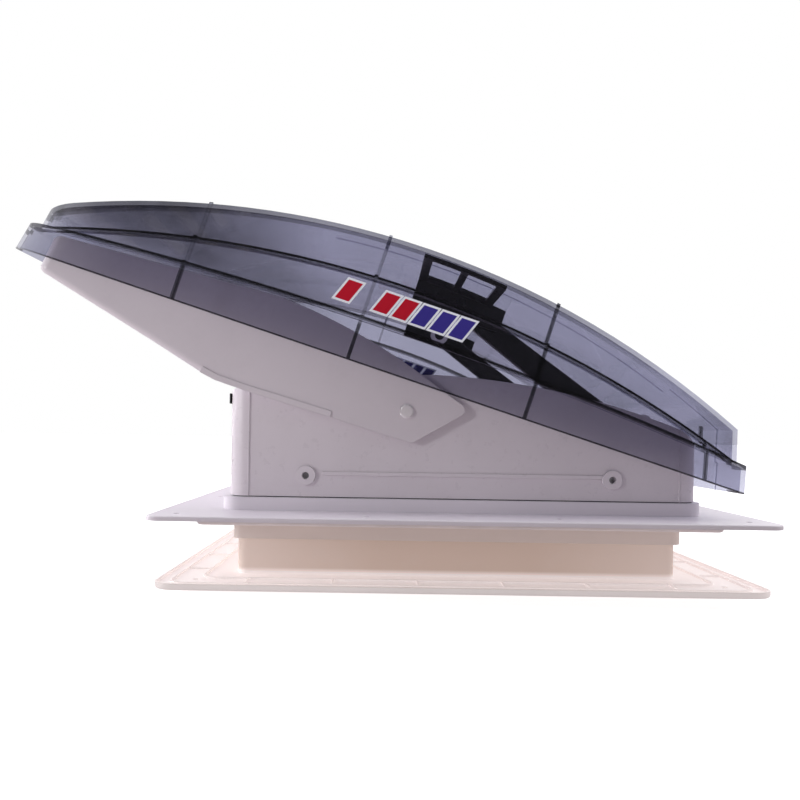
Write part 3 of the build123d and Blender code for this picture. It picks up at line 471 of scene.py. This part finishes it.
def smoke(name, wall_tint):
    """Smoke-tinted clear sheet.

    wall_tint is what one wall, two skins, lets through square on.  A slanted view has a longer way through
    the sheet and loses a little more, and the skin mirrors more.  Ribs and ledges are drawn darker, partly
    for the mouldings' extra thickness and partly as painted shade, and the rear corners are lightened as a
    painted highlight.
    """
    material = bpy.data.materials.new(name)
    n = Nodes(material)
    geometry = n.add("ShaderNodeNewGeometry")
    facing = n.add("ShaderNodeVectorMath")
    facing.operation = "DOT_PRODUCT"
    n.link(geometry.outputs["Normal"], facing.inputs[0])
    n.link(geometry.outputs["Incoming"], facing.inputs[1])
    cosine = n.math("ABSOLUTE", facing.outputs["Value"])
    slant = n.math("SUBTRACT", 1.0, n.times(cosine, cosine))
    bent = n.math("SUBTRACT", 1.0, n.math("DIVIDE", slant, SHEET_IOR * SHEET_IOR))
    path = n.math("DIVIDE", SKIN_PATH, n.math("SQRT", bent))
    away = n.math("POWER", n.math("SUBTRACT", 1.0, cosine, clamp=True), GRAZE_POWER)
    mirror = n.math("ADD", n.times(away, GRAZE_MIRROR), FACE_MIRROR)

    along, height, side = lid_place(n)
    sideways = n.math("ABSOLUTE", n.axes(geometry.outputs["Normal"])["Y"])
    # painted dark lines on the rim, ledges and ribs: partly the mouldings' extra thickness, partly painted
    # shade
    marks = n.times(moulding_marks(n, along, height, side), MARK_DEPTH)
    keep = n.math("SUBTRACT", n.span(n.noise(scale=14.0, detail=3.0), *KEEP_RANGE), marks)
    slope, cloud_gaps = upper_tone(n, along, height)
    rounded, edge = crown_edge(n, height, side, sideways, cosine)
    # painted shade: a dark line along the crown's rounded edge, fading towards the low end
    darker = n.times(edge, n.span(along, 1.0 - EDGE_KEEP, 1.0 - EDGE_KEEP_LOW_END, *EDGE_SPAN))
    keep = n.times(keep, slope, cloud_gaps, n.math("SUBTRACT", 1.0, darker))
    glint = n.times(rounded, n.span(along, 0.0, EDGE_GLINT, *GLINT_SPAN))
    mirror = n.math("ADD", mirror, glint, clamp=True)
    # painted highlight near the rear corners of the side walls
    rear_gap = n.math("SUBTRACT", along, n.times(height, REAR_SLOPE))
    rear_glint_fade = n.span(rear_gap, PAINTED_REAR_GLINT, 0.0, *REAR_GLINT_SPAN)
    painted_rear_glint = n.times(rear_glint_fade, n.math("GREATER_THAN", sideways, SIDE_FACING))

    channels = n.add("ShaderNodeCombineColor")
    for index, value in enumerate(wall_tint):
        passed = n.times(n.math("POWER", value, path), keep)
        lost = n.math("SUBTRACT", 1.0, passed)
        n.link(n.math("ADD", passed, n.times(lost, painted_rear_glint)), channels.inputs[index])
    clear = n.add("ShaderNodeBsdfTransparent")
    n.link(channels.outputs[0], clear.inputs["Color"])
    gloss = n.add("ShaderNodeBsdfGlossy")
    least, greatest = WIPED_RANGE
    wiped = n.span(n.noise(scale=300.0, detail=6.0, rough=0.7), SHEET_GLOSS * least, SHEET_GLOSS * greatest)
    n.link(wiped, gloss.inputs["Roughness"])
    ripple = n.bump(n.noise(scale=11.0, detail=2.0), strength=0.12, distance=RIPPLE_DEPTH)
    fine = n.bump(n.noise(scale=700.0, detail=2.0), strength=0.12, distance=SHEET_GRAIN_DEPTH, base=ripple)
    n.link(fine, gloss.inputs["Normal"])
    film = n.add("ShaderNodeBsdfDiffuse")
    film.inputs["Color"].default_value = (*FILM_COLOR, 1)
    haze = n.span(n.noise(scale=220.0, detail=6.0, rough=0.75), *HAZE_RANGE, *HAZE_SPAN)
    body = n.either(haze, clear, film)
    n.finish(n.either(mirror, body, gloss))
    return material


MATERIALS = {
    "gasket_foam": foam("gasket_foam", FOAM),
    "flange_white": plastic(
        "flange_white",
        LIT_GLOSS_WHITE,
        rough=0.38,
        grain_depth=0.00001,
        coat=0.08,
        dust=0.03,
        ripple=0.02,
        # painted warm bounce light on the flange below the roof
        painted_warm=WARM_BOUNCE_CREAM,
        painted_warm_where=below_roof,
    ),
    "seal_black": foam("seal_black", SEAL_BLACK),
    "shell_white": plastic("shell_white", WHITE, rough=0.30),
    "shield_white": plastic("shield_white", shade(WHITE, 0.97), rough=0.36),
    "screw_steel": metal("screw_steel", STEEL),
    "bracket_black": plastic("bracket_black", BLACK, rough=0.30, coat=0.3),
    "arm_black": plastic("arm_black", BLACK, rough=0.18, coat=0.6),
    "nylon_white": plastic("nylon_white", NYLON, rough=0.38),
    "motor_grey": metal("motor_grey", MOTOR_STEEL, rough=0.42),
    "spider_white": plastic("spider_white", WHITE, rough=0.35),
    "box_grey": plastic("box_grey", SLATE, rough=0.42),
    # painted light: glow makes the garnish shine as if lit through, though it is no lamp; its collar gets
    # painted warm shade
    "garnish_ivory": plastic(
        "garnish_ivory", IVORY, rough=0.34, glow=0.33, painted_warm=WARM_SHADED_BEIGE, painted_warm_where=collar_middle
    ),
    "mesh_grey": metal("mesh_grey", WIRE_STEEL, rough=0.5),
    "board_green": plastic("board_green", GREEN, rough=0.30),
    "lid_smoke": smoke("lid_smoke", LID_TINT),
    "badge_warm": plastic("badge_warm", RED, rough=0.20, coat=0.5),
    "badge_cool": plastic("badge_cool", BLUE, rough=0.20, coat=0.5),
    "rotor_smoke": plastic("rotor_smoke", SLATE, rough=0.28),
    "knob_ivory": plastic("knob_ivory", shade(IVORY, 0.9), rough=0.4),
    "button_grey": foam("button_grey", RUBBER),
}
SLOT_OF = {entry["node"]: entry["material_slot"] for entry in frame["record"]["subparts"]}
for node_name, node in NODES.items():
    node.data.materials.clear()
    node.data.materials.append(MATERIALS[SLOT_OF[node_name]])


# ---------------------------------------------------------------- pieces drawn only here
def piece_from(mesh, name):
    """Object made of a finished bmesh, with its faces turned outwards."""
    bmesh.ops.recalc_face_normals(mesh, faces=mesh.faces)
    data = bpy.data.meshes.new(name)
    mesh.to_mesh(data)
    mesh.free()
    piece = bpy.data.objects.new(name, data)
    bpy.context.scene.collection.objects.link(piece)
    return piece


def wire_cloth(name, low, high, pitch, radius):
    """Square woven wire cloth filling a box seen from above; the wires wave over and under each other."""
    mesh = bmesh.new()
    z_mid = (low.z + high.z) / 2
    for axis in (0, 1):
        other = 1 - axis
        count = int((high[other] - low[other]) / pitch)
        steps = int((high[axis] - low[axis]) / pitch)
        for wire in range(1, count):
            rings = []
            for step in range(steps + 1):
                along = low[axis] + (high[axis] - low[axis]) * step / steps
                lift = radius * (1 if (wire + step + axis) % 2 else -1)
                centre = [0.0, 0.0, z_mid + lift]
                centre[axis] = along
                centre[other] = low[other] + wire * pitch
                ring = []
                for corner in range(WIRE_SIDES):
                    angle = 2 * math.pi * corner / WIRE_SIDES
                    point = Vector(centre)
                    point[other] += radius * math.cos(angle)
                    point.z += radius * math.sin(angle)
                    ring.append(mesh.verts.new(point))
                rings.append(ring)
            for before, after in zip(rings, rings[1:]):
                for corner in range(WIRE_SIDES):
                    nxt = (corner + 1) % WIRE_SIDES
                    mesh.faces.new((before[corner], before[nxt], after[nxt], after[corner]))
            mesh.faces.new(rings[0][::-1])
            mesh.faces.new(rings[-1])
    return piece_from(mesh, name)


screen_low, screen_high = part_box("insect_mesh")
screen = wire_cloth("insect_screen_wires", screen_low, screen_high, WIRE_PITCH, WIRE_RADIUS)
screen.data.materials.append(MATERIALS["mesh_grey"])
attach(screen, "base")
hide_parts("insect_mesh")


def lid_point(along, height, side, proud):
    """Point on the lid's side band, standing off it by proud; side is 1 or -1."""
    across = BAND_HALF - height * math.tan(math.radians(BAND_DRAFT)) + proud
    x = LID_ORIGIN[0] + along * LID_COS + height * LID_SIN
    z = LID_ORIGIN[2] - along * LID_SIN + height * LID_COS
    return Vector((x, side * across, z))


def badge_borders(name, starts, low_h, high_h, margin):
    """Thin slanted plates a little larger than the badge bars, lying under them on both long sides."""
    mesh = bmesh.new()
    lean = BAR_LEAN * (high_h - low_h + 2 * margin) / (high_h - low_h)
    for side in (-1, 1):
        for start in starts:
            left = start - margin - (lean - BAR_LEAN) / 2
            right = start + BAR_WIDTH + margin - (lean - BAR_LEAN) / 2
            plan = (
                (left, low_h - margin),
                (right, low_h - margin),
                (right + lean, high_h + margin),
                (left + lean, high_h + margin),
            )
            inner = [mesh.verts.new(lid_point(s, h, side, BORDER_INNER)) for s, h in plan]
            outer = [mesh.verts.new(lid_point(s, h, side, BORDER_OUTER)) for s, h in plan]
            mesh.faces.new(inner)
            mesh.faces.new(outer[::-1])
            for here in range(4):
                there = (here + 1) % 4
                mesh.faces.new((inner[here], inner[there], outer[there], outer[here]))
    return piece_from(mesh, name)


borders = badge_borders("badge_borders", BAR_STARTS, BAR_BOTTOM, BAR_TOP, BORDER_MARGIN)
# painted light: glow makes the badge borders shine though they are no lamp
borders.data.materials.append(plastic("badge_edge", EDGE_WHITE, rough=0.25, dust=0.05, glow=0.25))
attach(borders, "lid")

# ---------------------------------------------------------------- floor
floor_level = Vector(cad_box[0]).z - FLOOR_GAP
bpy.ops.mesh.primitive_plane_add(size=FLOOR_SIZE, location=(0, 0, floor_level))
floor = bpy.context.object
floor.name = "floor"
floor_white = bpy.data.materials.new("floor_white")
n = Nodes(floor_white)
matte = n.add("ShaderNodeBsdfDiffuse")
n.link(n.tint(n.span(n.noise(scale=0.6), 0.0, 1.0), FLOOR_PALE, FLOOR_PALER), matte.inputs["Color"])
glow = n.add("ShaderNodeEmission")
glow.inputs["Strength"].default_value = FLOOR_GLOW
bright = n.add("ShaderNodeAddShader")
n.link(matte.outputs[0], bright.inputs[0])
n.link(glow.outputs[0], bright.inputs[1])
dull = n.add("ShaderNodeBsdfDiffuse")
dull.inputs["Color"].default_value = (*FLOOR_BOUNCE, 1)
rays = n.add("ShaderNodeLightPath")
n.finish(n.either(rays.outputs["Is Camera Ray"], dull, bright))
floor.data.materials.append(floor_white)

# ---------------------------------------------------------------- sky, dimmer on the camera's side
studio = bpy.data.worlds.new("studio")
bpy.context.scene.world = studio
n = Nodes(studio, "ShaderNodeOutputWorld")
towards = n.axes(n.where.outputs["Generated"])["Y"]
soft_sky = n.add("ShaderNodeBackground")
soft_sky.inputs["Color"].default_value = (*SKY_COLOR, 1)
n.link(n.span(towards, SKY_FRONT, 1.0, *SKY_SPAN), soft_sky.inputs["Strength"])
seen_sky = n.add("ShaderNodeBackground")
seen_sky.inputs["Color"].default_value = (1, 1, 1, 1)
seen_sky.inputs["Strength"].default_value = 1.0
rays = n.add("ShaderNodeLightPath")
n.finish(n.either(rays.outputs["Is Camera Ray"], soft_sky, seen_sky))


# ---------------------------------------------------------------- lamps and camera
def area_light(name, place, aim, size, power, spread=180.0, mirrored=True):
    """Soft rectangular lamp at place, pointing at aim; spread is the angle of its beam in degrees."""
    lamp = bpy.data.lights.new(name, "AREA")
    lamp.shape = "RECTANGLE"
    lamp.size, lamp.size_y = size
    lamp.energy = power
    lamp.spread = math.radians(spread)
    holder = bpy.data.objects.new(name, lamp)
    bpy.context.scene.collection.objects.link(holder)
    holder.location = place
    direction = Vector(aim) - Vector(place)
    holder.rotation_euler = direction.to_track_quat("-Z", "Y").to_euler()
    holder.visible_glossy = mirrored


area_light("key_top", place=(-0.2, 0.3, 1.9), aim=(0, 0, 0.1), size=(1.6, 1.2), power=11)
area_light("rear_left", place=(-1.8, 0.2, 0.5), aim=(-0.1, 0, 0.1), size=(0.8, 1.2), power=16, mirrored=False)
area_light(
    "front_left", place=(-1.6, -1.1, 0.45), aim=(-0.32, -0.19, 0.17), size=(0.3, 0.3), power=0.17, spread=20
)
area_light("right_strip", place=(1.5, -0.1, 0.9), aim=(0.1, 0, 0.1), size=(0.5, 1.2), power=6)

camera_data = bpy.data.cameras.new("camera")
camera_data.lens = LENS_MM
camera_data.sensor_width = SENSOR_MM
camera_data.shift_x, camera_data.shift_y = CAMERA_SHIFT
camera = bpy.data.objects.new("camera", camera_data)
bpy.context.scene.collection.objects.link(camera)
camera.matrix_world = (
    Matrix.Translation(CAMERA_PLACE)
    @ Matrix.Rotation(math.radians(90), 4, "X")
    @ Matrix.Rotation(CAMERA_ROLL, 4, "Z")
)
bpy.context.scene.camera = camera
bpy.context.scene.view_settings.view_transform = "Standard"
bpy.context.scene.cycles.transparent_max_bounces = CLEAR_BOUNCES
